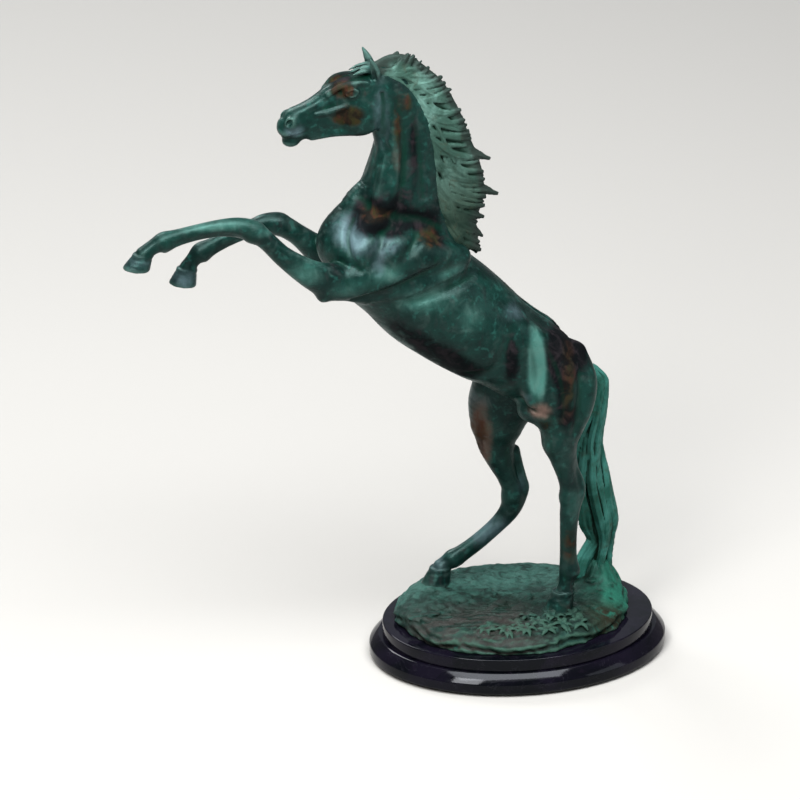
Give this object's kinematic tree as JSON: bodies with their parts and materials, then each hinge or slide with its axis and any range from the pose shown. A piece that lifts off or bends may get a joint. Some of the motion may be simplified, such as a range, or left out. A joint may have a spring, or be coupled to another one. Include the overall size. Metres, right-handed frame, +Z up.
{
  "type": "horse statue",
  "caption": "Rearing bronze horse with a flowing mane and a long tail touching the ground, on a rough bronze ground and a stepped oval marble base.",
  "frame": {"origin": "centre of the felt's underside, where the statue rests on a table", "axes": "+Z up; the horse faces -X, along the base's long axis; its left side is towards -Y"},
  "size_m": [0.4239, 0.178, 0.5079],
  "materials": {
    "felt": "dark green felt",
    "marble": "polished black marble with a violet tint",
    "steel": "plain zinc-plated steel",
    "ground_bronze": "green patinated bronze with brown-grey rock, satin to matte",
    "body_bronze": "dark green and brown patinated bronze, satin",
    "hair_bronze": "lighter verdigris bronze, satin to matte"
  },
  "bodies": {
    "root": {"felt_pad": "felt", "lower_marble_slab": "marble", "upper_marble_slab": "marble", "front_stud": "steel", "rear_stud": "steel", "front_washer": "steel", "rear_washer": "steel", "front_nut": "steel", "rear_nut": "steel", "ground_casting": "ground_bronze", "torso_casting": "body_bronze", "neck_and_head_casting": "body_bronze", "left_foreleg": "body_bronze", "right_foreleg": "body_bronze", "left_hind_leg": "body_bronze", "right_hind_leg": "body_bronze", "mane_casting": "hair_bronze", "tail_casting": "hair_bronze"}
  },
  "joints": []
}
